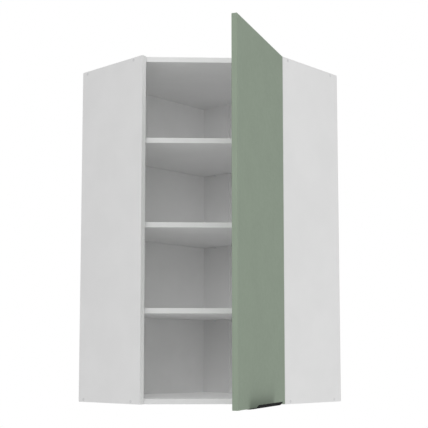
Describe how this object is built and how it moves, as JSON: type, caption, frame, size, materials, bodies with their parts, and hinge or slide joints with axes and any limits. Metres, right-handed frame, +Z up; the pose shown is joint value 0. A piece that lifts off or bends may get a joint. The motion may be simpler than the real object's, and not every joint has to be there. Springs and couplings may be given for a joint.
{
  "type": "corner wall cabinet",
  "caption": "Diagonal corner wall cabinet with loose shelves, one hinged green door with an edge handle and adjustable wall hangers.",
  "frame": {"origin": "the upright line where the two room walls meet, at the level of the cabinet underside", "axes": "+X to the right, +Y into the room corner (the diagonal front faces -Y), +Z up; each wall leaves the corner at 45 degrees to X"},
  "size_m": [0.8464, 1.0238, 1.08],
  "materials": {
    "white_board": "matt white melamine-faced chipboard",
    "white_edging": "matt white edging strip",
    "hardboard": "white-faced hardboard, brown on the wall side",
    "green_front": "matt sage green front",
    "black_metal": "matt black coating",
    "zinc_steel": "zinc-plated steel",
    "grey_cap": "light grey plastic",
    "nickel_casting": "nickel-plated zinc casting",
    "nickel_steel": "nickel-plated steel",
    "white_plastic": "white moulded plastic",
    "hanger_steel": "zinc-plated steel"
  },
  "bodies": {
    "root": {"side_left": "white_board", "side_right": "white_board", "bottom_panel": "white_board", "top_panel": "white_board", "corner_post": "white_board", "shelf_lower": "white_board", "shelf_middle": "white_board", "shelf_upper": "white_board", "side_left_edging": "white_edging", "side_right_edging": "white_edging", "bottom_panel_edging": "white_edging", "top_panel_edging": "white_edging", "shelf_lower_edging": "white_edging", "shelf_middle_edging": "white_edging", "shelf_upper_edging": "white_edging", "back_panel_left": "hardboard", "back_panel_right": "hardboard", "back_staples_left": "zinc_steel", "back_staples_right": "zinc_steel", "side_screws_left": "zinc_steel", "side_screws_right": "zinc_steel", "post_screws": "zinc_steel", "shelf_lower_pins": "zinc_steel", "shelf_middle_pins": "zinc_steel", "shelf_upper_pins": "zinc_steel", "side_caps_left": "grey_cap", "side_caps_right": "grey_cap", "hinge_arm_bottom": "nickel_casting", "hinge_arm_middle": "nickel_casting", "hinge_arm_top": "nickel_casting", "hinge_plate_bottom": "nickel_casting", "hinge_plate_middle": "nickel_casting", "hinge_plate_top": "nickel_casting", "hinge_plate_screws": "nickel_steel", "hinge_arm_screws": "nickel_steel", "hinge_adjusting_screws": "nickel_steel", "hanger_housing_left": "white_plastic", "hanger_housing_right": "white_plastic", "hanger_lug_screws_left": "hanger_steel", "hanger_lug_screws_right": "hanger_steel"},
    "door": {"door_panel": "green_front", "handle": "black_metal", "handle_screws": "zinc_steel", "hinge_pins": "nickel_steel", "hinge_cup_screws": "nickel_steel", "hinge_cup_bottom": "nickel_casting", "hinge_cup_middle": "nickel_casting", "hinge_cup_top": "nickel_casting"},
    "hanger_height_screw_left": {"hanger_height_screw_left": "hanger_steel"},
    "hanger_carriage_left": {"hanger_carriage_left": "hanger_steel"},
    "hanger_depth_screw_left": {"hanger_depth_screw_left": "hanger_steel"},
    "hanger_hook_left": {"hanger_hook_left": "hanger_steel"},
    "hanger_height_screw_right": {"hanger_height_screw_right": "hanger_steel"},
    "hanger_carriage_right": {"hanger_carriage_right": "hanger_steel"},
    "hanger_depth_screw_right": {"hanger_depth_screw_right": "hanger_steel"},
    "hanger_hook_right": {"hanger_hook_right": "hanger_steel"}
  },
  "joints": [
    {"name": "door_swing", "type": "hinge", "parent": "root", "child": "door", "pos_m": [0.2045, -0.63572, 0.54], "axis": [0, 0, 1], "range_deg": [-67, 28]},
    {"name": "hanger_height_screw_turn_left", "type": "hinge", "parent": "root", "child": "hanger_height_screw_left", "pos_m": [-0.38891, -0.41719, 1.024], "axis": [0, 0, 1], "range_deg": [-1802, 1802]},
    {"name": "hanger_lift_left", "type": "slide", "parent": "root", "child": "hanger_carriage_left", "axis": [0, 0, 1], "range_m": [-0.0075, 0.0075]},
    {"name": "hanger_depth_screw_turn_left", "type": "hinge", "parent": "hanger_carriage_left", "child": "hanger_depth_screw_left", "pos_m": [-0.38679, -0.42921, 1.032], "axis": [0.7071, -0.7071, 0], "range_deg": [-1442, 1442]},
    {"name": "hanger_hook_slide_left", "type": "slide", "parent": "hanger_carriage_left", "child": "hanger_hook_left", "axis": [0.7071, -0.7071, 0], "range_m": [-0.006, 0.006]},
    {"name": "hanger_height_screw_turn_right", "type": "hinge", "parent": "root", "child": "hanger_height_screw_right", "pos_m": [0.38891, -0.41719, 1.024], "axis": [0, 0, 1], "range_deg": [-1802, 1802]},
    {"name": "hanger_lift_right", "type": "slide", "parent": "root", "child": "hanger_carriage_right", "axis": [0, 0, 1], "range_m": [-0.0075, 0.0075]},
    {"name": "hanger_depth_screw_turn_right", "type": "hinge", "parent": "hanger_carriage_right", "child": "hanger_depth_screw_right", "pos_m": [0.38679, -0.42921, 1.032], "axis": [-0.7071, -0.7071, 0], "range_deg": [-1442, 1442]},
    {"name": "hanger_hook_slide_right", "type": "slide", "parent": "hanger_carriage_right", "child": "hanger_hook_right", "axis": [-0.7071, -0.7071, 0], "range_m": [-0.006, 0.006]}
  ],
  "couplings": [
    {"joint": "hanger_height_screw_turn_left", "follows": "hanger_lift_left", "rad_per_m": -4188.8},
    {"joint": "hanger_depth_screw_turn_left", "follows": "hanger_hook_slide_left", "rad_per_m": -4188.8},
    {"joint": "hanger_height_screw_turn_right", "follows": "hanger_lift_right", "rad_per_m": -4188.8},
    {"joint": "hanger_depth_screw_turn_right", "follows": "hanger_hook_slide_right", "rad_per_m": -4188.8}
  ]
}
